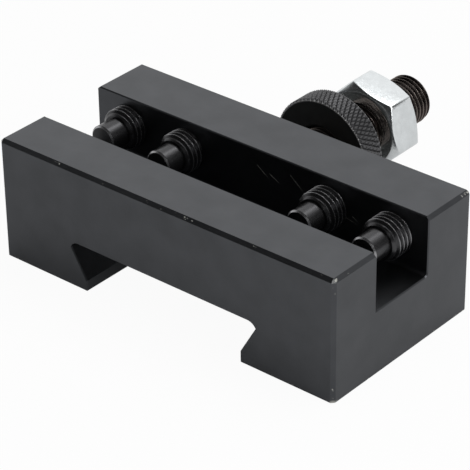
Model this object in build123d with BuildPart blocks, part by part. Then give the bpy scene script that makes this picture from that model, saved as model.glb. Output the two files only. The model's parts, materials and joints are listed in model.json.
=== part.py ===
from build123d import *
import os
from math import cos, pi, radians, sin, tan

# Turning tool holder for a quick-change tool post.  All sizes are in millimetres.
#
# Frame: +X runs along the holder's length, +Y across it towards the height stud, +Z up from
# the mounting face.  The origin is the centre of the dovetail's mouth: in the mounting face,
# midway between the two ends and midway between the front and back faces.

# ---- body -------------------------------------------------------------------------------
body_length = 75.0
body_width = 37.6
body_height = 24.0
outer_chamfer = 0.65
edge_break = 0.2

# ---- tool slot, open upwards and at both ends --------------------------------------------
front_wall = 11.1
slot_width = 14.4
slot_floor_height = 12.6
slot_corner_radius = 0.8

# ---- dovetail in the mounting face ---------------------------------------------------------
dovetail_mouth = 35.1
dovetail_depth = 9.2
dovetail_lip = 2.2
flank_angle = 60.0
root_radius = 2.0
root_end_angle = 30.0

# ---- four dog-point set screws ------------------------------------------------------------
screw_radius = 4.0
screw_length = 20.0
screw_height = 18.3
inner_screw_spacing = 32.2
outer_screw_margin = 7.5
screw_lead = 0.9
screw_end_chamfer = 0.6
dog_radius = 2.7
dog_length = 4.0
dog_tip_chamfer = 0.3
screw_socket_flats = 4.0
screw_socket_depth = 5.0
screw_1_opening = 7.3
screw_2_opening = 6.7
screw_3_opening = 6.3
screw_4_opening = 6.25

# ---- height stud and its two nuts -----------------------------------------------------------
stud_radius = 4.9
stud_height = 15.2
stud_reach = 34.4
stud_seat_depth = 10.0
stud_end_chamfer = 1.1
stud_seat_chamfer = 0.5
stud_thread_pitch = 1.0
stud_thread_depth = 0.58
stud_sides = 12

thumb_nut_radius = 10.43
thumb_nut_thickness = 4.9
thumb_nut_gap = 6.3
thumb_nut_chamfer = 0.35
knurl_pitch = 1.0
knurl_lean = 30.0
knurl_depth = 0.4

lock_nut_flats = 16.0
lock_nut_thickness = 7.5
lock_nut_gap = 6.3
lock_nut_face_radius = 7.5
lock_nut_chamfer_angle = 30.0
lock_nut_rotation = -16.0

# ---- fits -----------------------------------------------------------------------------------
thread_clearance = 0.05
hole_lead_in = 0.4
bore_lead_in = 0.45
cut_margin = 5.0

# ---- places worked out from the sizes above ---------------------------------------------------
front_face = -body_width / 2
back_face = body_width / 2
slot_front = front_face + front_wall
slot_back = slot_front + slot_width
back_wall = back_face - slot_back
slot_depth = body_height - slot_floor_height
tapped_hole_radius = screw_radius + thread_clearance
stud_bore_radius = stud_radius + thread_clearance
stud_foot = back_face - stud_seat_depth
stud_end = back_face + stud_reach
thumb_nut_front = back_face + thumb_nut_gap
thumb_nut_back = thumb_nut_front + thumb_nut_thickness
lock_nut_front = thumb_nut_back + lock_nut_gap
lock_nut_back = lock_nut_front + lock_nut_thickness
outer_screw_place = body_length / 2 - outer_screw_margin
inner_screw_place = inner_screw_spacing / 2
screw_places = [-outer_screw_place, -inner_screw_place, inner_screw_place, outer_screw_place]
screw_openings = [screw_1_opening, screw_2_opening, screw_3_opening, screw_4_opening]


def upright_plane(y, x=0.0, z=0.0):
    """Plane square to the stud and screws: its own axes are X and +Z, and it faces the front."""
    return Plane(origin=(x, y, z), x_dir=(1, 0, 0), z_dir=(0, -1, 0))


def outward_plane(y, z):
    """The same plane turned to face away from the body, for holes drilled into the back face."""
    return Plane(origin=(0, y, z), x_dir=(1, 0, 0), z_dir=(0, 1, 0))


def finish(piece, name):
    """Label one finished piece and write it as its own STEP file."""
    piece.part.label = name
    export_step(piece.part, f"parts/{name}.step")


def make_holder_body():
    """The milled block: tool slot above, dovetail below, tapped holes from the back face."""
    root_end_height = dovetail_depth - root_radius * (1 - sin(radians(root_end_angle)))
    root_end = dovetail_mouth / 2 + (root_end_height - dovetail_lip) / tan(radians(flank_angle))
    root_centre = root_end - root_radius * cos(radians(root_end_angle))

    with BuildPart() as body:
        Box(body_length, body_width, body_height, align=(Align.CENTER, Align.CENTER, Align.MIN))
        chamfer(body.edges().filter_by(Axis.Z) + body.edges().group_by(Axis.Z)[-1], outer_chamfer)

        # The tool slot, with the cutter's small radius left along its back corner.
        with BuildSketch(Plane.YZ) as slot_section:
            with Locations((slot_front, slot_floor_height)):
                Rectangle(slot_width, slot_depth + cut_margin, align=(Align.MIN, Align.MIN))
            back_corner = slot_section.vertices().group_by(Axis.Y)[0].sort_by(Axis.X)[-1]
            fillet(back_corner, radius=slot_corner_radius)
        extrude(amount=body_length / 2 + cut_margin, both=True, mode=Mode.SUBTRACT)
        slot_edges = body.edges(Select.LAST)
        slot_mouth = slot_edges.filter_by(Axis.X).group_by(Axis.Z)[-1]
        cross_edges = slot_edges.filter_by(Axis.X, reverse=True)
        slot_ends = cross_edges.filter_by_position(Axis.Y, slot_front, slot_back)
        chamfer(slot_mouth + slot_ends, edge_break)

        # The dovetail: straight lips, leaning flanks and a round root under the roof.
        with BuildSketch(Plane.XZ):
            with BuildLine():
                Polyline((0, -cut_margin), (dovetail_mouth / 2, -cut_margin),
                         (dovetail_mouth / 2, dovetail_lip), (root_end, root_end_height))
                CenterArc((root_centre, dovetail_depth - root_radius), root_radius,
                          root_end_angle, 90 - root_end_angle)
                Line((root_centre, dovetail_depth), (0, dovetail_depth))
                mirror(about=Plane.YZ)
            make_face()
        extrude(amount=body_width / 2 + cut_margin, both=True, mode=Mode.SUBTRACT)
        dovetail_ends = body.edges(Select.LAST).filter_by(Axis.Y, reverse=True)
        wing_edges = dovetail_ends.filter_by_position(Axis.Z, 0, root_end_height, (False, True))
        foot_edges = body.faces().group_by(Axis.Z)[0].edges()
        chamfer(wing_edges + foot_edges, edge_break)

        # Holes from the back face: one tapped through to the slot for each screw, and a blind
        # one that takes the stud.
        with Locations(outward_plane(back_face, screw_height)):
            with Locations(*[(x, 0) for x in screw_places]):
                CounterSinkHole(tapped_hole_radius, tapped_hole_radius + hole_lead_in,
                                depth=back_wall + slot_width / 2, counter_sink_angle=90)
        with Locations(outward_plane(back_face, stud_height)):
            CounterSinkHole(stud_bore_radius, stud_bore_radius + hole_lead_in,
                            depth=stud_seat_depth, counter_sink_angle=90)
    return body


def make_set_screw(x, opening):
    """A dog-point set screw on the line through x, its tip `opening` from the slot's front side."""
    tip = slot_front + opening
    shoulder = tip + dog_length
    end = tip + screw_length
    with BuildPart() as screw:
        with BuildSketch(Plane.XY.offset(screw_height)):
            with BuildLine():
                Polyline((x, tip), (x + dog_radius - dog_tip_chamfer, tip),
                         (x + dog_radius, tip + dog_tip_chamfer), (x + dog_radius, shoulder),
                         (x + screw_radius - screw_lead, shoulder),
                         (x + screw_radius, shoulder + screw_lead),
                         (x + screw_radius, end - screw_end_chamfer),
                         (x + screw_radius - screw_end_chamfer, end), (x, end), close=True)
            make_face()
        revolve(axis=Axis((x, 0, screw_height), (0, 1, 0)))
        with BuildSketch(upright_plane(end, x, screw_height)):
            RegularPolygon(screw_socket_flats / 2, 6, major_radius=False)
        extrude(amount=screw_socket_depth, mode=Mode.SUBTRACT)
    return screw


def make_height_stud():
    """The threaded stud, seated on the bottom of its hole in the body's back face.

    Its fine thread is a row of V rings with a few flats each, lofted straight from crest to root
    and on to the next crest.  The chamfer at the free end limits the last of them.
    """
    root_radius = stud_radius - stud_thread_depth
    end_radius = stud_radius - stud_end_chamfer
    sections = [(stud_foot, stud_radius - stud_seat_chamfer), (stud_foot + stud_seat_chamfer, stud_radius)]
    for ring in range(int(stud_reach / stud_thread_pitch)):
        crest = back_face + ring * stud_thread_pitch
        root = crest + stud_thread_pitch / 2
        sections += [(crest, stud_radius), (root, root_radius)]
    sections.append((stud_end, end_radius))

    with BuildPart() as stud:
        for y, radius in sections:
            with BuildSketch(upright_plane(y, z=stud_height)):
                RegularPolygon(min(radius, end_radius + stud_end - y), stud_sides)
        loft(ruled=True)
    return stud


def make_thumb_nut():
    """The round thumb nut that sets the holder's height on the post, with its diamond knurl.

    The knurl is two crossing sets of V grooves.  The rim starts with one narrow flat for each
    upright row of diamonds, and the grooves cut away the corners between the flats, so that all
    that is left of the rim is the flat tops of the diamonds.
    """
    grooves_round_rim = round(2 * pi * thumb_nut_radius * cos(radians(knurl_lean)) / knurl_pitch)
    half_row_angle = 90 / grooves_round_rim
    groove_length = thumb_nut_thickness / cos(radians(knurl_lean)) + cut_margin

    with BuildPart() as groove:
        with BuildSketch(Plane.XY):
            with BuildLine():
                Polyline((-knurl_depth, 0), (knurl_depth, 2 * knurl_depth),
                         (knurl_depth, -2 * knurl_depth), close=True)
            make_face()
        extrude(amount=groove_length / 2, both=True)

    with BuildPart() as nut:
        with BuildSketch(upright_plane(thumb_nut_back, z=stud_height)):
            RegularPolygon(thumb_nut_radius, 2 * grooves_round_rim, major_radius=False,
                           rotation=half_row_angle)
            Circle(stud_bore_radius, mode=Mode.SUBTRACT)
        extrude(amount=thumb_nut_thickness)
        chamfer(nut.edges().filter_by(GeomType.LINE).filter_by(Axis.Y, reverse=True), thumb_nut_chamfer)
        chamfer(nut.edges().filter_by(GeomType.CIRCLE), bore_lead_in)
        for lean in (-knurl_lean, knurl_lean):
            with Locations(upright_plane((thumb_nut_front + thumb_nut_back) / 2, z=stud_height)):
                with PolarLocations(thumb_nut_radius, grooves_round_rim):
                    with Locations(Location((0, 0, 0), (lean, 0, 0))):
                        add(groove.part, mode=Mode.SUBTRACT)
    return nut


def make_lock_nut():
    """The hexagon nut that locks the thumb nut, chamfered at both faces."""
    corner_radius = lock_nut_flats / 2 / cos(radians(30))
    chamfer_depth = (corner_radius - lock_nut_face_radius) * tan(radians(lock_nut_chamfer_angle))
    with BuildPart() as nut:
        with BuildSketch(upright_plane(lock_nut_back, z=stud_height)):
            RegularPolygon(lock_nut_flats / 2, 6, major_radius=False, rotation=lock_nut_rotation)
        extrude(amount=lock_nut_thickness)
        with BuildSketch(Plane.XY.offset(stud_height)):
            with BuildLine():
                Polyline((stud_bore_radius + bore_lead_in, lock_nut_front),
                         (lock_nut_face_radius, lock_nut_front),
                         (corner_radius, lock_nut_front + chamfer_depth),
                         (corner_radius, lock_nut_back - chamfer_depth),
                         (lock_nut_face_radius, lock_nut_back),
                         (stud_bore_radius + bore_lead_in, lock_nut_back),
                         (stud_bore_radius, lock_nut_back - bore_lead_in),
                         (stud_bore_radius, lock_nut_front + bore_lead_in), close=True)
            make_face()
        revolve(axis=Axis((0, 0, stud_height), (0, 1, 0)), mode=Mode.INTERSECT)
    return nut


os.makedirs("parts", exist_ok=True)
finish(make_holder_body(), "holder_body")
for number, (place, opening) in enumerate(zip(screw_places, screw_openings), start=1):
    finish(make_set_screw(place, opening), f"set_screw_{number}")
finish(make_height_stud(), "height_stud")
finish(make_thumb_nut(), "thumb_nut")
finish(make_lock_nut(), "lock_nut")
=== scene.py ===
"""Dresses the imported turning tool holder: black oxide steel, cut screw threads, a diamond knurl
and a bright zinc nut, on a plain pale floor.  Lengths are in metres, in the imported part's frame:
X along the holder, Y towards the height stud, Z up from the mounting face."""

import json
import math

import bmesh
import bpy
from bpy.props import FloatProperty, FloatVectorProperty, PointerProperty
from bpy.types import Operator, Panel, PropertyGroup
from mathutils import Matrix, Vector


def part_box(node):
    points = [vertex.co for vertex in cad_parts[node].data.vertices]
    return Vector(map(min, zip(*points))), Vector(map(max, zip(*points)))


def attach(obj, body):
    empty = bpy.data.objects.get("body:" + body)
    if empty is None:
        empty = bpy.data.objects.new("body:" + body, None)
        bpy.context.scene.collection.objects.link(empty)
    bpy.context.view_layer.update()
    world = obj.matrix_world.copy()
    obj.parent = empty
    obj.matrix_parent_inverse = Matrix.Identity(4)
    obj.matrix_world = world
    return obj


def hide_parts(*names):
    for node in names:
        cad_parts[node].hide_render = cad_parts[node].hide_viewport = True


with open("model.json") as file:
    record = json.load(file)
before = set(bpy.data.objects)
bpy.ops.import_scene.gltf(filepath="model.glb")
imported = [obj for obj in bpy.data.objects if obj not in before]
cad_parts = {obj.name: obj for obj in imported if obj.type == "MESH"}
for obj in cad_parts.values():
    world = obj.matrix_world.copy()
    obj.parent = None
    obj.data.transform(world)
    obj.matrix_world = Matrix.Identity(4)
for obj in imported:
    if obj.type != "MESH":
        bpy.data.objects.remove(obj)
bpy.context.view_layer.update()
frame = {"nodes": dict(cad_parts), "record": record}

bl_info = {
    "name": "Turning tool holder",
    "version": (1, 0, 0),
    "blender": (4, 5, 0),
    "location": "3D View > Sidebar > Tool Holder",
    "description": "Dresses the packed turning tool holder and sets its stage",
    "category": "Add Mesh",
}

MM = 0.001
SCREW_NODES = [f"set_screw_{number}" for number in range(1, 5)]
BODIES = frame["record"]["behaviour"]["bodies"]
BODY_OF_NODE = {node: body for body, nodes in BODIES.items() for node in nodes}

# Scratches on the slot's back wall: start along X and along Z in mm, slope in degrees, length in mm
SCRATCHES = [
    (7.8, 21.5, -39, 4.2),
    (3.2, 20.1, -29, 2.8),
    (0.4, 20.9, -36, 3.4),
    (19.8, 17.6, -13, 3.0),
    (21.4, 18.3, -30, 1.8),
]


def node_axis(node):
    """Where a node's centre line, which runs along Y, crosses X and Z."""
    low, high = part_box(node)
    return (low.x + high.x) / 2, (low.z + high.z) / 2


def node_radius(node):
    """Half of a node's width."""
    low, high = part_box(node)
    return (high.x - low.x) / 2


# ---- settings ------------------------------------------------------------------------------

def length(name, description, default):
    return FloatProperty(name=name, description=description, default=default, subtype="DISTANCE",
                         unit="LENGTH", min=0.0, precision=6)


def share(name, description, default):
    return FloatProperty(name=name, description=description, default=default, subtype="FACTOR", min=0.0,
                         max=1.0)


def angle(name, description, degrees):
    return FloatProperty(name=name, description=description, default=math.radians(degrees), subtype="ANGLE",
                         unit="ROTATION")


def power(name, description, watts):
    return FloatProperty(name=name, description=description, default=watts, subtype="POWER", unit="POWER",
                         min=0.0)


def colour(name, description, default):
    return FloatVectorProperty(name=name, description=description, default=default, subtype="COLOR", size=3,
                               min=0.0, max=1.0)


class FinishSettings(PropertyGroup):
    """Colours and roughness of the metals."""
    oxide: colour("Black oxide", "Reflection colour of the blackened block", (0.078, 0.081, 0.087))
    oxide_roughness: share("Oxide roughness", "How soft the block's reflections are", 0.32)
    oxide_gloss: share("Oxide gloss", "Share of its light that the block mirrors, not scatters", 0.97)
    worn: colour("Worn steel", "Bare steel where the oxide has rubbed off", (0.36, 0.36, 0.33))
    screw: colour("Screw oxide", "Reflection colour of the set screws", (0.068, 0.068, 0.071))
    # Partly rubbed steel on the crests, partly a painted highlight there and on the point's chamfer.
    screw_crest_wear_and_highlight: colour("Screw crests", "Reflection colour of their crests and of the point's edge",
                        (0.38, 0.38, 0.39))
    screw_roughness: share("Screw roughness", "How soft the set screws' reflections are", 0.27)
    screw_gloss: share("Screw gloss", "Share of their light that the set screws mirror", 0.95)
    stud: colour("Stud oxide", "Reflection colour of the height stud's ends", (0.085, 0.075, 0.070))
    # Painted shade: the thread's roots and flanks are darker than the stud's ends.
    stud_groove_shade: colour("Stud roots", "Reflection colour of the roots of its thread", (0.036, 0.030, 0.028))
    # Lighter crests: partly worn steel, partly a painted highlight.
    stud_crest_wear_and_highlight: colour("Stud crests", "Reflection colour of the crests of its thread", (0.26, 0.222, 0.20))
    stud_roughness: share("Stud roughness", "How soft the stud's reflections are", 0.24)
    knurl: colour("Knurl oxide", "Reflection colour of the thumb nut's knurl", (0.084, 0.084, 0.087))
    # Painted highlight: a light ring on the faces' margin and the rim's chamfer.
    rim: colour("Rim", "Reflection colour of the painted highlight line round the thumb nut's faces", (0.36, 0.36, 0.36))
    turned: colour("Turned oxide", "Reflection colour of the thumb nut's turned faces", (0.045, 0.046, 0.045))
    knurl_roughness: share("Thumb nut roughness", "How soft the thumb nut's reflections are", 0.45)
    knurl_gloss: share("Thumb nut gloss", "Share of its light that the thumb nut mirrors", 0.8)
    zinc: colour("Zinc", "Reflection colour of the plated lock nut", (0.74, 0.77, 0.78))
    zinc_roughness: share("Zinc roughness", "How soft the lock nut's reflections are", 0.2)


class WearSizes(PropertyGroup):
    """Where the block's oxide is rubbed or scratched off."""
    edge_band: length("Edge band", "Width of the painted highlight line along an edge", 0.5 * MM)
    corner_band: length("Corner band", "Reach of the worn spot at a corner", 1.5 * MM)
    corner_reach: length("Corner reach", "How far from a corner the specks lie closer together", 5.0 * MM)
    speck: length("Speck size", "Size of the specks along the edges", 0.9 * MM)
    slot_back: length("Slot's back wall", "Place of the slot's back wall across the block", 6.7 * MM)
    scratch_width: length("Scratch width", "Width of a scratch in the slot", 0.05 * MM)


class SetScrewSizes(PropertyGroup):
    """Sizes of the dog-point set screws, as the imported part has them, and of their threads."""
    pitch: length("Pitch", "Distance between two crests of the thread", 1.0 * MM)
    depth: length("Thread depth", "From crest to root", 0.6 * MM)
    # This outer share is partly rubbed steel and partly a painted highlight.
    crest_wear_and_highlight_share: share("Bright share", "Outer share of the thread's depth that is rubbed bright", 0.25)
    lead: length("Lead chamfer", "Height of the chamfer where the thread starts", 0.9 * MM)
    end_chamfer: length("End chamfer", "Chamfer round the socket end", 0.6 * MM)
    dog_radius: length("Dog radius", "Radius of the plain point", 2.7 * MM)
    dog_length: length("Dog length", "Length of the plain point", 4.0 * MM)
    tip_chamfer: length("Tip chamfer", "Chamfer round the point", 0.3 * MM)
    socket_flats: length("Socket flats", "Width of the hexagon socket across its flats", 4.0 * MM)
    socket_depth: length("Socket depth", "Depth of the hexagon socket", 5.0 * MM)
    socket_point: length("Socket point", "Depth of the drill's cone under the socket", 0.8 * MM)
    socket_flat: share("Socket's flat", "Width of the cone's blunt end, as a share of the socket's", 0.1)


class HeightStudSizes(PropertyGroup):
    """Sizes of the height stud's thread and ends."""
    pitch: length("Pitch", "Distance between two crests of the thread", 1.0 * MM)
    depth: length("Thread depth", "From crest to root", 0.58 * MM)
    # This outer share is partly rubbed steel and partly a painted highlight.
    crest_wear_and_highlight_share: share("Bright share", "Outer share of the thread's depth that is rubbed bright", 0.3)
    slack: length("Slack", "How far the crests lie inside the stud's full radius", 0.1 * MM)
    end_chamfer: length("End chamfer", "Chamfer round the free end", 1.35 * MM)
    seat_chamfer: length("Seat chamfer", "Chamfer round the end inside the block", 0.5 * MM)


class ThumbNutSizes(PropertyGroup):
    """Sizes of the thumb nut's knurl, rim and bore."""
    knurl_pitch: length("Knurl pitch", "Distance between two neighbouring grooves", 0.84 * MM)
    knurl_lean: angle("Knurl lean", "Angle between a groove and the nut's axis", 30)
    knurl_depth: length("Knurl depth", "Depth of a groove", 0.27 * MM)
    rim_chamfer: length("Rim chamfer", "Chamfer round both faces", 0.33 * MM)
    face_margin: length("Face margin", "From the rim's chamfer to the turned face", 0.15 * MM)
    bore_lead_in: length("Bore lead-in", "Chamfer round the bore", 0.45 * MM)
    bore_clearance: length("Bore clearance", "Gap between the bore and the stud", 0.05 * MM)


class LockNutSizes(PropertyGroup):
    """Sizes of the hexagon lock nut."""
    flats: length("Across flats", "Width across two opposite flats", 16.0 * MM)
    face_radius: length("Face radius", "Radius where the chamfer meets the face", 7.5 * MM)
    chamfer_angle: angle("Chamfer angle", "Slope of the chamfer to the face", 30)
    turn: angle("Turn", "How far the nut is turned on the stud", -16)
    edge_radius: length("Edge radius", "Rounding of the corners and the chamfer's edges", 0.26 * MM)
    bore_lead_in: length("Bore lead-in", "Chamfer round the bore", 0.45 * MM)
    bore_clearance: length("Bore clearance", "Gap between the bore and the stud", 0.05 * MM)


class StageSettings(PropertyGroup):
    """Floor, light and camera."""
    floor: colour("Floor", "Colour of the floor", (0.8, 0.8, 0.8))
    floor_reach: length("Floor reach", "From the middle of the floor to its edges", 2.0)
    floor_gap: length("Floor gap", "How far the floor keeps below the mounting face", 0.01 * MM)
    floor_seen: share("Floor whiteness", "Share of plain white in the floor as the camera sees it", 0.95)
    floor_mirrored: share("Mirrored whiteness", "Share of plain white in the floor as metal mirrors it", 0.1)
    sky: FloatProperty(name="Sky", description="Strength of the light from all round", default=0.38, min=0.0)
    backdrop: FloatVectorProperty(name="Backdrop", description="Level direction of the backdrop's middle",
                                  subtype="XYZ", default=(-0.643, 0.766, 0.0))
    backdrop_full: share("Backdrop's core", "Cosine of the angle within which it is fully bright", 0.55)
    room: share("Room", "Brightness of the room opposite the backdrop, as metal mirrors it", 0.03)
    lamp_aim: FloatVectorProperty(name="Lamp aim", description="Point that the lamps are turned towards",
                                  subtype="XYZ", unit="LENGTH", default=(0.0, 0.0, 12.0 * MM))
    key: power("Key", "Power of the large soft lamp", 1.6)
    fill: power("Fill", "Power of the lamp from the right", 2.1)
    glint: power("Glint", "Power of the small lamp that draws the highlights", 0.25)
    azimuth: angle("Azimuth", "Camera's direction round the holder", 40.491)
    elevation: angle("Elevation", "Camera's height above the horizon", 31.129)
    roll: angle("Roll", "Camera's tilt to one side", -0.7735)
    distance: length("Distance", "From the camera to its target", 430.16 * MM)
    target: FloatVectorProperty(name="Target", description="Point that the camera looks at", subtype="XYZ",
                                unit="LENGTH", default=(3.105 * MM, -2.703 * MM, 12.0 * MM))
    lens: FloatProperty(name="Lens", description="Focal length, in millimetres", default=189.94, min=1.0)


# ---- mesh helpers ----------------------------------------------------------------------------

HEXAGON = 6                          # sides
ROUND_STEPS = 72                     # round a screw, a stud or a dog point
STEPS_PER_FLAT = 12                  # along each side of the lock nut
SPARE_TURNS = 0.3                    # least length of thread, in turns, that is cut off past either end
MERGE = 0.5e-6                       # vertices closer than this are one
SHARP_ANGLE = math.radians(32)       # edges that turn more than this stay sharp
HARD_EDGE = math.radians(20)         # edges of the lock nut that turn more than this are rounded


def polyline(bm, points):
    """Vertices at (radius, y) points in the plane Z = 0, joined by edges."""
    verts = [bm.verts.new((radius, y, 0.0)) for radius, y in points]
    return [bm.edges.new(pair) for pair in zip(verts, verts[1:])]


def ends_of(edges):
    """The vertices of some edges, each of them once."""
    return list({v for e in edges for v in e.verts})


def spin_round(bm, edges, steps):
    """Turns a line of edges a full turn round the Y axis."""
    bmesh.ops.spin(bm, geom=ends_of(edges) + edges, cent=(0, 0, 0), axis=(0, 1, 0), angle=math.tau,
                   steps=steps, use_merge=True)


def circle(bm, radius, y, steps, turn=0.0):
    """A ring of edges round the Y axis."""
    upright = Matrix.Rotation(math.pi / 2, 4, "X") @ Matrix.Rotation(turn, 4, "Z")
    made = bmesh.ops.create_circle(bm, radius=radius, segments=steps,
                                   matrix=Matrix.Translation((0, y, 0)) @ upright)
    return list({e for v in made["verts"] for e in v.link_edges})


def hexagon(bm, flats, y, turn=0.0):
    """A ring of six edges round the Y axis, with its width across the flats."""
    return circle(bm, flats / math.sqrt(3), y, HEXAGON, turn)


def open_ring(bm, y):
    """The edges of the open border that lies in the plane at y."""
    return [e for e in bm.edges if e.is_boundary and all(abs(v.co.y - y) < MERGE for v in e.verts)]


def draw_in(bm, edges, ratio, dy):
    """Extrudes a ring of edges, scales the new ring about the Y axis, moves it by dy and returns it."""
    made = bmesh.ops.extrude_edge_only(bm, edges=edges)["geom"]
    verts = [g for g in made if isinstance(g, bmesh.types.BMVert)]
    bmesh.ops.scale(bm, verts=verts, vec=(ratio, 1.0, ratio))
    bmesh.ops.translate(bm, verts=verts, vec=(0, dy, 0))
    return [g for g in made if isinstance(g, bmesh.types.BMEdge) and all(v in verts for v in g.verts)]


def cut_across(bm, y, side, clear):
    """Cuts the mesh square at y and, on request, removes what lies past it on that side, -1 or 1."""
    bmesh.ops.bisect_plane(bm, geom=bm.verts[:] + bm.edges[:] + bm.faces[:], dist=MERGE / 10,
                           plane_co=(0, y, 0), plane_no=(0, side, 0), clear_outer=clear)


def from_axis(v):
    """A vertex's distance from the Y axis."""
    return math.hypot(v.co.x, v.co.z)


def set_radius(v, radius):
    """Moves a vertex straight towards the Y axis or away from it."""
    ratio = radius / from_axis(v)
    v.co.x *= ratio
    v.co.z *= ratio


def turn_down(bm, y, radius, slope):
    """Pulls in every vertex that stands outside a cone round Y: its radius at y, and its growth along Y."""
    for v in bm.verts:
        limit = max(radius + slope * (v.co.y - y), radius / 2)
        if from_axis(v) > limit:
            set_radius(v, limit)


def thread_outline(crest, depth, pitch):
    """One groove as (radius, y) points from root to root: narrow flats, straight flanks and eased corners."""
    root = crest - depth
    half = pitch / 2
    crest_flat, root_flat = pitch / 24, pitch / 9
    climb = half - crest_flat - root_flat
    rise = [(root, 0.0), (root, root_flat * 0.6), (root + depth * 0.05, root_flat),
            (root + depth * 0.2, root_flat + climb * 0.17),
            (crest - depth * 0.12, half - crest_flat - climb * 0.1),
            (crest - depth * 0.03, half - crest_flat), (crest, half - crest_flat * 0.4), (crest, half)]
    return rise + [(radius, pitch - y) for radius, y in reversed(rise[:-1])]


def cut_thread(bm, start, end, crest, sizes, start_chamfer, end_chamfer):
    """A right-hand thread round the Y axis, chamfered and cut square at both ends, which stay open."""
    pitch = sizes.pitch
    first = start - (1 + SPARE_TURNS) * pitch
    turns = math.ceil((end - first) / pitch + SPARE_TURNS)
    outline = thread_outline(crest, sizes.depth, pitch)
    edges = polyline(bm, [(radius, first + y) for radius, y in outline])
    bmesh.ops.spin(bm, geom=ends_of(edges) + edges, cent=(0, 0, 0), axis=(0, 1, 0),
                   dvec=(0, pitch / ROUND_STEPS, 0), angle=math.tau, steps=ROUND_STEPS)
    one_turn = bm.verts[:] + bm.edges[:] + bm.faces[:]
    for turn in range(1, turns):
        copy = bmesh.ops.duplicate(bm, geom=one_turn)["geom"]
        bmesh.ops.translate(bm, verts=[g for g in copy if isinstance(g, bmesh.types.BMVert)],
                            vec=(0, turn * pitch, 0))
    bmesh.ops.remove_doubles(bm, verts=bm.verts[:], dist=MERGE)
    turn_down(bm, start, crest - start_chamfer, 1.0)
    turn_down(bm, end, crest - end_chamfer, -1.0)
    cut_across(bm, start, -1, True)
    cut_across(bm, end, 1, True)


def join_rings(bm, outer, inner, side):
    """Fills the space between two rings of one plane, which faces the side -1 or 1 along Y.

    Two rings with one centre have no clear order, so the inner one is moved out meanwhile.
    """
    verts = ends_of(inner)
    bmesh.ops.translate(bm, verts=verts, vec=(0, side * MM, 0))
    bmesh.ops.bridge_loops(bm, edges=outer + inner)
    bmesh.ops.translate(bm, verts=verts, vec=(0, -side * MM, 0))


def close_around(bm, y, ring, side):
    """Fills the space between the thread's open end at y and a new ring inside it."""
    join_rings(bm, [e for e in open_ring(bm, y) if e not in ring], ring, side)


def split_rings(edges, radius):
    """Sorts ring edges into those outside the radius and those inside it."""
    inner = [e for e in edges if from_axis(e.verts[0]) < radius]
    return [e for e in edges if e not in inner], inner


def close_with_face(bm, edges):
    """Fills a flat ring with one face."""
    bmesh.ops.edgeloop_fill(bm, edges=edges)


def turn_bore(bm, node, outer, sizes, steps):
    """A nut's two flat faces, from an outer radius inwards, and its bore with a chamfer at both ends."""
    low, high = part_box(node)
    bore = node_radius("height_stud") + sizes.bore_clearance
    mouth = bore + sizes.bore_lead_in
    outline = [(outer, low.y), (mouth, low.y), (bore, low.y + sizes.bore_lead_in),
               (bore, high.y - sizes.bore_lead_in), (mouth, high.y), (outer, high.y)]
    spin_round(bm, polyline(bm, outline), steps)


def finish_mesh(bm, name, node, material):
    """Puts the mesh on its node's centre line, makes its object, attaches it to its node's body and hides the
    node.
    """
    x, z = node_axis(node)
    bmesh.ops.remove_doubles(bm, verts=bm.verts[:], dist=MERGE)
    bmesh.ops.translate(bm, verts=bm.verts[:], vec=(x, 0, z))
    bmesh.ops.recalc_face_normals(bm, faces=bm.faces[:])
    mesh = bpy.data.meshes.new(name)
    bm.to_mesh(mesh)
    bm.free()
    mesh.shade_smooth()
    mesh.set_sharp_from_angle(angle=SHARP_ANGLE)
    mesh.materials.append(material)
    piece = bpy.data.objects.new(name, mesh)
    bpy.context.scene.collection.objects.link(piece)
    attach(piece, BODY_OF_NODE[node])
    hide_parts(node)


# ---- materials -------------------------------------------------------------------------------

NOISE_LOW, NOISE_HIGH = 0.3, 0.7     # the range that a noise texture mostly keeps to
FADE = 0.05 * MM                     # over which one tint turns into the next
SKIN = 0.01 * MM                     # how far a side's tint reaches in under it


def add_node(tree, kind, inputs=None, **settings):
    """A node with its settings, and a link or a plain value for each input, by its name or number."""
    node = tree.nodes.new(kind)
    for key, value in settings.items():
        setattr(node, key, value)
    for key, value in (inputs or {}).items():
        if isinstance(value, bpy.types.NodeSocket):
            tree.links.new(value, node.inputs[key])
        else:
            node.inputs[key].default_value = value
    return node


def math_node(tree, operation, *values):
    """The output of a Math node on sockets or numbers."""
    return add_node(tree, "ShaderNodeMath", dict(enumerate(values)), operation=operation).outputs["Value"]


def vector_node(tree, operation, *values):
    """The output of a Vector Math node on sockets or vectors."""
    node = add_node(tree, "ShaderNodeVectorMath", dict(enumerate(values)), operation=operation)
    return node.outputs["Value" if operation in ("LENGTH", "DOT_PRODUCT") else "Vector"]


def map_range(tree, value, from_low, from_high, to_low=0.0, to_high=1.0, blend="LINEAR"):
    """The output of a Map Range node, which keeps to its range."""
    inputs = {"Value": value, "From Min": from_low, "From Max": from_high, "To Min": to_low,
              "To Max": to_high}
    return add_node(tree, "ShaderNodeMapRange", inputs, interpolation_type=blend).outputs["Result"]


def noise(tree, place, size, detail):
    """The output of a noise whose spots have a size in metres."""
    inputs = {"Vector": place, "Scale": math_node(tree, "DIVIDE", 1.0, size), "Detail": detail}
    return add_node(tree, "ShaderNodeTexNoise", inputs).outputs["Fac"]


def object_place(tree):
    """The point that is shaded, in the object's own space."""
    return tree.nodes.new("ShaderNodeTexCoord").outputs["Object"]


def shared_group(name, build):
    """The shader node group of that name, which its function builds at its first use."""
    return bpy.data.node_groups.get(name) or build(name)


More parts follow.
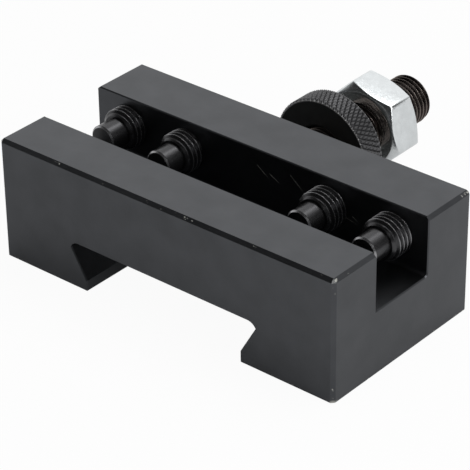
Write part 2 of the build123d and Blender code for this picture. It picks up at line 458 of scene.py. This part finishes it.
def new_group(name, inputs, outputs):
    """An empty shader node group with its named sockets, and what its inputs give and its outputs take."""
    tree = bpy.data.node_groups.new(name, "ShaderNodeTree")
    for label, kind, default in inputs:
        tree.interface.new_socket(label, in_out="INPUT", socket_type=kind).default_value = default
    for label in outputs:
        tree.interface.new_socket(label, in_out="OUTPUT", socket_type="NodeSocketFloat")
    return tree, tree.nodes.new("NodeGroupInput").outputs, tree.nodes.new("NodeGroupOutput").inputs


def build_tool_marks(name):
    """Fine tool marks along one direction over soft blotches, in metres of the object's own space."""
    tree, given, result = new_group(
        name,
        [("Stretch", "NodeSocketVector", (1.0, 1.0, 1.0)), ("Mark size", "NodeSocketFloat", 0.1 * MM),
         ("Blotch size", "NodeSocketFloat", 6 * MM)],
        ["Marks", "Blotches"])
    place = object_place(tree)
    stretched = vector_node(tree, "MULTIPLY", place, given["Stretch"])
    tree.links.new(noise(tree, stretched, given["Mark size"], 2.0), result["Marks"])
    tree.links.new(noise(tree, place, given["Blotch size"], 3.0), result["Blotches"])
    return tree


def build_reach(name):
    """How far a point lies from a centre line along Y: 0 at the inner radius, 1 at the outer one."""
    tree, given, result = new_group(
        name,
        [("Centre line", "NodeSocketVector", (0.0, 0.0, 0.0)), ("Inner radius", "NodeSocketFloat", 0.0),
         ("Outer radius", "NodeSocketFloat", 1 * MM)],
        ["Reach"])
    away = vector_node(tree, "SUBTRACT", object_place(tree), given["Centre line"])
    radius = vector_node(tree, "LENGTH", vector_node(tree, "MULTIPLY", away, (1.0, 0.0, 1.0)))
    reach = map_range(tree, radius, given["Inner radius"], given["Outer radius"])
    tree.links.new(reach, result["Reach"])
    return tree


def build_edge_wear(name):
    """1 on the specks along a box's edges and at its corners, 0 elsewhere."""
    edge_from = 0.02                        # closeness to an edge, 0 to 1, from which specks lie
    crowding = 0.14                         # what a corner adds to the noise, so that more specks lie there
    speck_from, speck_bare = 0.66, 0.74     # noise where a speck starts and where it is bare
    corner_from, corner_bare = 0.32, 0.5    # closeness where a corner's spot starts and where it is bare
    tree, given, result = new_group(
        name,
        [("Middle", "NodeSocketVector", (0.0, 0.0, 0.0)), ("Half size", "NodeSocketVector", (1.0, 1.0, 1.0)),
         ("Edge band", "NodeSocketFloat", 0.5 * MM), ("Corner band", "NodeSocketFloat", 1.5 * MM),
         ("Corner reach", "NodeSocketFloat", 5 * MM), ("Speck size", "NodeSocketFloat", 1 * MM)],
        ["Wear"])
    place = object_place(tree)
    away = vector_node(tree, "ABSOLUTE", vector_node(tree, "SUBTRACT", place, given["Middle"]))
    inside = vector_node(tree, "SUBTRACT", given["Half size"], away)
    depths = add_node(tree, "ShaderNodeSeparateXYZ", {0: inside}).outputs

    def closeness(band):
        """1 at each pair of the box's faces, 0 where a point lies deeper than the band."""
        return [map_range(tree, depth, 0.0, band, 1.0, 0.0) for depth in depths]

    def near_corner(band):
        x, y, z = closeness(band)
        return math_node(tree, "MULTIPLY", math_node(tree, "MULTIPLY", x, y), z)

    x, y, z = closeness(given["Edge band"])
    edge = math_node(tree, "MAXIMUM", math_node(tree, "MULTIPLY", x, y), math_node(tree, "MULTIPLY", y, z))
    edge = math_node(tree, "MAXIMUM", edge, math_node(tree, "MULTIPLY", z, x))
    closer = math_node(tree, "MULTIPLY", near_corner(given["Corner reach"]), crowding)
    spots = math_node(tree, "ADD", noise(tree, place, given["Speck size"], 3.0), closer)
    specks = math_node(tree, "MULTIPLY", math_node(tree, "GREATER_THAN", edge, edge_from),
                       map_range(tree, spots, speck_from, speck_bare))
    corners = map_range(tree, near_corner(given["Corner band"]), corner_from, corner_bare)
    tree.links.new(math_node(tree, "MAXIMUM", specks, corners), result["Wear"])
    return tree


def build_scratch(name):
    """1 on a thin straight line of a given length, 0 elsewhere."""
    fading = 0.4         # the share of its length, at its far end, over which a scratch fades out
    tree, given, result = new_group(
        name,
        [("Start", "NodeSocketVector", (0.0, 0.0, 0.0)), ("Direction", "NodeSocketVector", (1.0, 0.0, 0.0)),
         ("Length", "NodeSocketFloat", 3 * MM), ("Width", "NodeSocketFloat", 0.1 * MM)],
        ["Wear"])
    away = vector_node(tree, "SUBTRACT", object_place(tree), given["Start"])
    along = vector_node(tree, "DOT_PRODUCT", away, given["Direction"])
    foot = vector_node(tree, "MULTIPLY", given["Direction"], along)
    aside = vector_node(tree, "LENGTH", vector_node(tree, "SUBTRACT", away, foot))
    share_along = math_node(tree, "DIVIDE", along, given["Length"])
    left = math_node(tree, "MULTIPLY", math_node(tree, "GREATER_THAN", share_along, 0.0),
                     math_node(tree, "SUBTRACT", 1.0, share_along))
    thin = math_node(tree, "LESS_THAN", aside, math_node(tree, "MULTIPLY", given["Width"], 0.5))
    tree.links.new(map_range(tree, math_node(tree, "MULTIPLY", thin, left), 0.0, fading), result["Wear"])
    return tree


def blend_colour(tree, target, amount, tint):
    """Blends what feeds a colour socket with a plain tint, by an amount from 0 to 1."""
    blend = add_node(tree, "ShaderNodeMix", {"Factor": amount}, data_type="RGBA")
    before, after = (socket for socket in blend.inputs if socket.type == "RGBA")
    tree.links.new(target.links[0].from_socket, before)
    after.default_value = (*tint, 1.0)
    tree.links.new(next(socket for socket in blend.outputs if socket.type == "RGBA"), target)


def rub_off(material, wear, bare):
    """Turns the oxide into bare steel that scatters light, where the wear is 1."""
    tree = material.node_tree
    shader = tree.nodes["Principled BSDF"]
    gloss = shader.inputs["Metallic"].default_value
    blend_colour(tree, shader.inputs["Base Color"], wear, bare)
    tree.links.new(math_node(tree, "MULTIPLY", math_node(tree, "SUBTRACT", 1.0, wear), gloss),
                   shader.inputs["Metallic"])


def tint_outside(material, node, inner, outer, tint):
    """Changes a metal's reflection colour from the inner to the outer radius round a node's centre line."""
    tree = material.node_tree
    x, z = node_axis(node)
    reach = add_node(tree, "ShaderNodeGroup", node_tree=shared_group("Reach from centre line", build_reach))
    reach.inputs["Centre line"].default_value = (x, 0.0, z)
    reach.inputs["Inner radius"].default_value = inner
    reach.inputs["Outer radius"].default_value = outer
    blend_colour(tree, tree.nodes["Principled BSDF"].inputs["Base Color"], reach.outputs["Reach"], tint)


def metal(name, base, roughness, gloss=1.0, mark_size=0.1 * MM, stretch=(1.0, 1.0, 1.0),
          mark_depth=0.003 * MM, blotch_size=2 * MM, roughness_spread=0.04, tint_spread=0.12):
    """A metal whose tone and gloss change softly over the surface, with fine tool marks as bump."""
    material = bpy.data.materials.new(name)
    material.use_nodes = True
    tree = material.node_tree
    shader = tree.nodes["Principled BSDF"]
    shader.inputs["Metallic"].default_value = gloss
    grain = add_node(tree, "ShaderNodeGroup", node_tree=shared_group("Tool marks", build_tool_marks))
    grain.inputs["Stretch"].default_value = stretch
    grain.inputs["Mark size"].default_value = mark_size
    grain.inputs["Blotch size"].default_value = blotch_size
    tone = map_range(tree, grain.outputs["Blotches"], NOISE_LOW, NOISE_HIGH, 1.0 - tint_spread,
                     1.0 + tint_spread)
    tree.links.new(vector_node(tree, "MULTIPLY", tone, base), shader.inputs["Base Color"])
    softness = map_range(tree, grain.outputs["Marks"], NOISE_LOW, NOISE_HIGH, roughness - roughness_spread,
                         roughness + roughness_spread)
    tree.links.new(softness, shader.inputs["Roughness"])
    bump = add_node(tree, "ShaderNodeBump", {"Height": grain.outputs["Marks"], "Distance": mark_depth})
    tree.links.new(bump.outputs["Normal"], shader.inputs["Normal"])
    return material


# ---- pieces ----------------------------------------------------------------------------------

class TOOLHOLDER_OT_block(Operator):
    """Give the milled block its black oxide finish"""
    bl_idname = "toolholder.block"
    bl_label = "Finish the block"

    def execute(self, context):
        finish = context.scene.toolholder_finish
        oxide = metal("Black oxide", finish.oxide, finish.oxide_roughness, finish.oxide_gloss,
                      mark_size=0.12 * MM, stretch=(0.08, 1.0, 1.0), mark_depth=0.004 * MM,
                      blotch_size=5 * MM, roughness_spread=0.03, tint_spread=0.08)
        rub_off(oxide, self.worn_places(oxide.node_tree, context.scene.toolholder_wear), finish.worn)
        block = frame["nodes"]["holder_body"]
        block.data.materials.clear()
        block.data.materials.append(oxide)
        return {"FINISHED"}

    def worn_places(self, tree, wear):
        """One mask for the rubbed edges and corners and for the scratches on the slot's back wall."""
        low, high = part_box("holder_body")
        edges = add_node(tree, "ShaderNodeGroup", node_tree=shared_group("Edge wear", build_edge_wear))
        edges.inputs["Middle"].default_value = (Vector(low) + Vector(high)) / 2
        edges.inputs["Half size"].default_value = (Vector(high) - Vector(low)) / 2
        edges.inputs["Edge band"].default_value = wear.edge_band
        edges.inputs["Corner band"].default_value = wear.corner_band
        edges.inputs["Corner reach"].default_value = wear.corner_reach
        edges.inputs["Speck size"].default_value = wear.speck
        worn = edges.outputs["Wear"]
        for x, z, degrees, reach in SCRATCHES:
            slope = math.radians(degrees)
            scratch = add_node(tree, "ShaderNodeGroup", node_tree=shared_group("Scratch", build_scratch))
            scratch.inputs["Start"].default_value = (x * MM, wear.slot_back, z * MM)
            scratch.inputs["Direction"].default_value = (math.cos(slope), 0.0, math.sin(slope))
            scratch.inputs["Length"].default_value = reach * MM
            scratch.inputs["Width"].default_value = wear.scratch_width
            worn = math_node(tree, "MAXIMUM", worn, scratch.outputs["Wear"])
        return worn


class TOOLHOLDER_OT_set_screws(Operator):
    """Make the four dog-point set screws with their threads"""
    bl_idname = "toolholder.set_screws"
    bl_label = "Make the set screws"

    def execute(self, context):
        sizes = context.scene.toolholder_set_screws
        for node in SCREW_NODES:
            material = self.screw_oxide(node, sizes, context.scene.toolholder_finish)
            self.make_screw(node, sizes, material)
        return {"FINISHED"}

    def screw_oxide(self, node, sizes, finish):
        """Dark steel. It is lighter on the thread's crests, partly as rubbed steel and partly as a painted
        highlight, and has a painted highlight on the chamfer round the point.
        """
        crest = node_radius(node)
        bright = crest - sizes.crest_wear_and_highlight_share * sizes.depth
        flat_tip = sizes.dog_radius - sizes.tip_chamfer
        dog_side = sizes.dog_radius - SKIN
        material = metal("Screw oxide", finish.screw, finish.screw_roughness, finish.screw_gloss)
        # Painted highlight: the chamfer round the point gets the crest colour.
        tint_outside(material, node, flat_tip - FADE, flat_tip, finish.screw_crest_wear_and_highlight)
        tint_outside(material, node, dog_side - FADE, dog_side, finish.screw)
        # Lighter crests: partly rubbed steel, partly a painted highlight.
        tint_outside(material, node, bright, crest, finish.screw_crest_wear_and_highlight)
        return material

    def make_screw(self, node, sizes, material):
        low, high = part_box(node)
        tip, end = low.y, high.y
        shoulder = tip + sizes.dog_length
        bm = bmesh.new()
        cut_thread(bm, shoulder, end, node_radius(node), sizes, sizes.lead, sizes.end_chamfer)

        dog = circle(bm, sizes.dog_radius, shoulder, ROUND_STEPS)
        close_around(bm, shoulder, dog, -1)
        dog = draw_in(bm, dog, 1.0, sizes.tip_chamfer - sizes.dog_length)
        dog = draw_in(bm, dog, 1 - sizes.tip_chamfer / sizes.dog_radius, -sizes.tip_chamfer)
        close_with_face(bm, dog)

        socket = hexagon(bm, sizes.socket_flats, end)
        close_around(bm, end, socket, 1)
        socket = draw_in(bm, socket, 1.0, -sizes.socket_depth)
        socket = draw_in(bm, socket, sizes.socket_flat, -sizes.socket_point)
        close_with_face(bm, socket)
        finish_mesh(bm, node + "_threaded", node, material)


class TOOLHOLDER_OT_height_stud(Operator):
    """Make the height stud with its fine thread"""
    bl_idname = "toolholder.height_stud"
    bl_label = "Make the height stud"

    def execute(self, context):
        sizes = context.scene.toolholder_height_stud
        finish = context.scene.toolholder_finish
        low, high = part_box("height_stud")
        crest = node_radius("height_stud") - sizes.slack
        root = crest - sizes.depth
        bright = crest - sizes.crest_wear_and_highlight_share * sizes.depth
        material = metal("Stud oxide", finish.stud, finish.stud_roughness)
        # Painted shade: the thread outside the root radius is darkened.
        tint_outside(material, "height_stud", root - 2 * FADE, root, finish.stud_groove_shade)
        # Lighter crests: partly worn steel, partly a painted highlight.
        tint_outside(material, "height_stud", bright, crest, finish.stud_crest_wear_and_highlight)

        bm = bmesh.new()
        cut_thread(bm, low.y, high.y, crest, sizes, sizes.seat_chamfer, sizes.end_chamfer)
        for y, chamfer, side in ((low.y, sizes.seat_chamfer, -1), (high.y, sizes.end_chamfer, 1)):
            face = circle(bm, root - chamfer, y, ROUND_STEPS)
            close_around(bm, y, face, side)
            close_with_face(bm, face)
        finish_mesh(bm, "height_stud_threaded", "height_stud", material)
        return {"FINISHED"}


class TOOLHOLDER_OT_thumb_nut(Operator):
    """Make the thumb nut with its diamond knurl"""
    bl_idname = "toolholder.thumb_nut"
    bl_label = "Make the thumb nut"

    def execute(self, context):
        sizes = context.scene.toolholder_thumb_nut
        finish = context.scene.toolholder_finish
        low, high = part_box("thumb_nut")
        rim = node_radius("thumb_nut")
        face = rim - sizes.rim_chamfer - sizes.face_margin
        material = metal("Knurled oxide", finish.turned, finish.knurl_roughness, finish.knurl_gloss,
                         blotch_size=3 * MM, tint_spread=0.1)
        # Painted highlight: the faces' margin and the rim's chamfer are lightened.
        tint_outside(material, "thumb_nut", face - 2 * FADE, face, finish.rim)
        tint_outside(material, "thumb_nut", rim - sizes.rim_chamfer, rim - sizes.knurl_depth, finish.knurl)

        columns = round(math.tau * rim * math.cos(sizes.knurl_lean) / sizes.knurl_pitch)
        bm = bmesh.new()
        self.knurl(bm, rim, low.y, high.y, columns, sizes)
        turn_bore(bm, "thumb_nut", face, sizes, 2 * columns)
        for y, side in ((low.y, -1), (high.y, 1)):
            join_rings(bm, *split_rings(open_ring(bm, y), face + MERGE), side)
        finish_mesh(bm, "thumb_nut_knurled", "thumb_nut", material)
        return {"FINISHED"}

    def knurl(self, bm, rim, front, back, columns, sizes):
        """Diamonds with flat tops all round the rim, cut square at both faces and chamfered there.

        Each cell of a grid round the nut gets a middle point. Without the cells' own edges, what lies
        between the middle points is the diamonds, which are then raised off the grooves' floor.
        """
        height = sizes.knurl_pitch / math.sin(sizes.knurl_lean)
        rows = math.ceil((back - front) / height) + 1
        first = (front + back) / 2 - rows * height / 2
        floor = rim - sizes.knurl_depth
        spin_round(bm, polyline(bm, [(floor, first + row * height) for row in range(rows + 1)]), columns)
        cell_edges = [e for e in bm.edges if len(e.link_faces) == 2]
        bmesh.ops.poke(bm, faces=bm.faces[:])
        bmesh.ops.dissolve_edges(bm, edges=cell_edges)
        for v in bm.verts:
            set_radius(v, floor)
        diamonds = [f for f in bm.faces if len(f.verts) == 4]
        bmesh.ops.recalc_face_normals(bm, faces=bm.faces[:])
        bmesh.ops.inset_individual(bm, faces=diamonds, thickness=sizes.knurl_depth, depth=sizes.knurl_depth)
        cut_across(bm, front + sizes.rim_chamfer, 1, False)
        cut_across(bm, back - sizes.rim_chamfer, 1, False)
        cut_across(bm, front, -1, True)
        cut_across(bm, back, 1, True)
        turn_down(bm, front, rim - sizes.rim_chamfer, 1.0)
        turn_down(bm, back, rim - sizes.rim_chamfer, -1.0)


class TOOLHOLDER_OT_lock_nut(Operator):
    """Make the hexagon lock nut with rounded edges"""
    bl_idname = "toolholder.lock_nut"
    bl_label = "Make the lock nut"

    def execute(self, context):
        sizes = context.scene.toolholder_lock_nut
        finish = context.scene.toolholder_finish
        material = metal("Bright zinc", finish.zinc, finish.zinc_roughness, mark_size=0.5 * MM,
                         mark_depth=0.012 * MM, blotch_size=1.6 * MM, roughness_spread=0.06, tint_spread=0.05)
        low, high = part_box("lock_nut")
        middle = (low.y + high.y) / 2
        bm = bmesh.new()
        outline = hexagon(bm, sizes.flats, low.y, sizes.turn - math.pi / HEXAGON)
        bmesh.ops.subdivide_edges(bm, edges=outline, cuts=STEPS_PER_FLAT - 1)
        draw_in(bm, bm.edges[:], 1.0, high.y - low.y)
        slope = math.tan(sizes.chamfer_angle)
        for v in bm.verts:
            drop = max(from_axis(v) - sizes.face_radius, 0.0) * slope
            v.co.y += drop if v.co.y < middle else -drop
        turn_bore(bm, "lock_nut", sizes.face_radius, sizes, HEXAGON * STEPS_PER_FLAT)
        for side in (-1, 1):
            rings = [e for e in bm.edges if e.is_boundary and (e.verts[0].co.y - middle) * side > 0]
            join_rings(bm, *split_rings(rings, sizes.face_radius + MERGE), side)
        self.round_edges(bm, sizes)
        finish_mesh(bm, "lock_nut_plated", "lock_nut", material)
        return {"FINISHED"}

    def round_edges(self, bm, sizes):
        """Rounds the six corners and the edges of both chamfers."""
        bmesh.ops.remove_doubles(bm, verts=bm.verts[:], dist=MERGE)
        bmesh.ops.recalc_face_normals(bm, faces=bm.faces[:])
        hard = [e for e in bm.edges if e.calc_face_angle(0.0) > HARD_EDGE
                and from_axis(e.verts[0]) > sizes.face_radius - MERGE]
        bmesh.ops.bevel(bm, geom=hard, offset=sizes.edge_radius, affect="EDGES", segments=3, profile=0.5,
                        material=-1, clamp_overlap=True)


# ---- stage -----------------------------------------------------------------------------------

def view_axes(azimuth, elevation, roll):
    """The camera's right, up and backward directions."""
    back = Vector((math.sin(azimuth) * math.cos(elevation), -math.cos(azimuth) * math.cos(elevation),
                   math.sin(elevation)))
    right = Vector((0, 0, 1)).cross(back).normalized()
    up = back.cross(right)
    return (math.cos(roll) * right + math.sin(roll) * up, math.cos(roll) * up - math.sin(roll) * right, back)


def area_lamp(name, place, aim, size, watts):
    """A square lamp at a place, turned towards a point."""
    lamp = bpy.data.lights.new(name, "AREA")
    lamp.shape = "SQUARE"
    lamp.size = size
    lamp.energy = watts
    holder = bpy.data.objects.new(name, lamp)
    holder.location = place
    holder.rotation_euler = (Vector(aim) - Vector(place)).to_track_quat("-Z", "Y").to_euler()
    bpy.context.scene.collection.objects.link(holder)


class TOOLHOLDER_OT_stage(Operator):
    """Set the floor, the light and the camera"""
    bl_idname = "toolholder.stage"
    bl_label = "Set the stage"

    def execute(self, context):
        stage = context.scene.toolholder_stage
        self.make_floor(stage)
        self.make_world(context, stage)
        area_lamp("Key lamp", (0.1, 0.25, 0.65), stage.lamp_aim, size=0.45, watts=stage.key)
        area_lamp("Right lamp", (0.6, 0.1, 0.25), stage.lamp_aim, size=0.35, watts=stage.fill)
        area_lamp("Glint lamp", (0.36, -0.30, 0.38), stage.lamp_aim, size=0.12, watts=stage.glint)
        self.make_camera(context, stage)
        context.scene.view_settings.view_transform = "Standard"
        return {"FINISHED"}

    def make_floor(self, stage):
        """A pale matt plane, nearly white where the camera sees it, that keeps the holder's shadow."""
        bm = bmesh.new()
        bmesh.ops.create_grid(bm, x_segments=1, y_segments=1, size=stage.floor_reach,
                              matrix=Matrix.Translation((0.0, 0.0, -stage.floor_gap)))
        mesh = bpy.data.meshes.new("floor")
        bm.to_mesh(mesh)
        bm.free()
        floor = bpy.data.objects.new("floor", mesh)
        bpy.context.scene.collection.objects.link(floor)
        material = bpy.data.materials.new("Pale floor")
        material.use_nodes = True
        tree = material.node_tree
        shader = tree.nodes["Principled BSDF"]
        shader.inputs["Base Color"].default_value = (*stage.floor, 1.0)
        shader.inputs["Roughness"].default_value = 0.9
        shader.inputs["Specular IOR Level"].default_value = 0.0
        white = tree.nodes.new("ShaderNodeEmission")
        ray = tree.nodes.new("ShaderNodeLightPath").outputs
        seen = math_node(tree, "MULTIPLY", ray["Is Camera Ray"], stage.floor_seen)
        mirrored = math_node(tree, "MAXIMUM", ray["Is Glossy Ray"], ray["Is Transmission Ray"])
        mirrored = math_node(tree, "MULTIPLY", mirrored, stage.floor_mirrored)
        mix = add_node(tree, "ShaderNodeMixShader", {0: math_node(tree, "MAXIMUM", seen, mirrored),
                                                     1: shader.outputs["BSDF"], 2: white.outputs["Emission"]})
        tree.links.new(mix.outputs["Shader"], tree.nodes["Material Output"].inputs["Surface"])
        mesh.materials.append(material)

    def make_world(self, context, stage):
        """White for the camera, even light for the surfaces, and a backdrop in a dim room for reflections."""
        world = bpy.data.worlds.new("Soft studio")
        world.use_nodes = True
        tree = world.node_tree
        direction = tree.nodes.new("ShaderNodeTexCoord").outputs["Generated"]
        towards = vector_node(tree, "DOT_PRODUCT", direction, stage.backdrop)
        mirrored = map_range(tree, towards, 0.0, stage.backdrop_full, stage.room, 1.0, blend="SMOOTHSTEP")
        ray = tree.nodes.new("ShaderNodeLightPath").outputs
        plain = math_node(tree, "MAXIMUM", ray["Is Camera Ray"], ray["Is Transmission Ray"])
        glossy = math_node(tree, "MULTIPLY", ray["Is Glossy Ray"], mirrored)
        diffuse = math_node(tree, "MULTIPLY", ray["Is Diffuse Ray"], stage.sky)
        strength = math_node(tree, "MAXIMUM", math_node(tree, "MAXIMUM", plain, glossy), diffuse)
        tree.links.new(strength, tree.nodes["Background"].inputs["Strength"])
        tree.nodes["Background"].inputs["Color"].default_value = (1.0, 1.0, 1.0, 1.0)
        context.scene.world = world

    def make_camera(self, context, stage):
        right, up, back = view_axes(stage.azimuth, stage.elevation, stage.roll)
        data = bpy.data.cameras.new("Camera")
        data.lens = stage.lens
        data.clip_start = 0.02
        data.clip_end = 10.0
        camera = bpy.data.objects.new("Camera", data)
        place = Vector(stage.target) + back * stage.distance
        camera.matrix_world = Matrix.Translation(place) @ Matrix((right, up, back)).transposed().to_4x4()
        context.scene.collection.objects.link(camera)
        context.scene.camera = camera


class TOOLHOLDER_PT_panel(Panel):
    """Lists what dresses the tool holder"""
    bl_label = "Turning tool holder"
    bl_space_type = "VIEW_3D"
    bl_region_type = "UI"
    bl_category = "Tool Holder"

    def draw(self, context):
        column = self.layout.column(align=True)
        for operator in OPERATORS:
            column.operator(operator.bl_idname)
        for name in SETTINGS:
            group = getattr(context.scene, name)
            box = self.layout.box()
            for key in group.__annotations__:
                box.prop(group, key)


SETTINGS = {
    "toolholder_finish": FinishSettings,
    "toolholder_wear": WearSizes,
    "toolholder_set_screws": SetScrewSizes,
    "toolholder_height_stud": HeightStudSizes,
    "toolholder_thumb_nut": ThumbNutSizes,
    "toolholder_lock_nut": LockNutSizes,
    "toolholder_stage": StageSettings,
}
OPERATORS = [TOOLHOLDER_OT_block, TOOLHOLDER_OT_set_screws, TOOLHOLDER_OT_height_stud,
             TOOLHOLDER_OT_thumb_nut, TOOLHOLDER_OT_lock_nut, TOOLHOLDER_OT_stage]
CLASSES = [*SETTINGS.values(), *OPERATORS, TOOLHOLDER_PT_panel]


def register():
    for cls in CLASSES:
        bpy.utils.register_class(cls)
    for name, cls in SETTINGS.items():
        setattr(bpy.types.Scene, name, PointerProperty(type=cls))


def unregister():
    for name in SETTINGS:
        delattr(bpy.types.Scene, name)
    for cls in reversed(CLASSES):
        bpy.utils.unregister_class(cls)


def main():
    register()
    bpy.ops.toolholder.block()
    bpy.ops.toolholder.set_screws()
    bpy.ops.toolholder.height_stud()
    bpy.ops.toolholder.thumb_nut()
    bpy.ops.toolholder.lock_nut()
    bpy.ops.toolholder.stage()


if __name__ == "__main__":
    main()
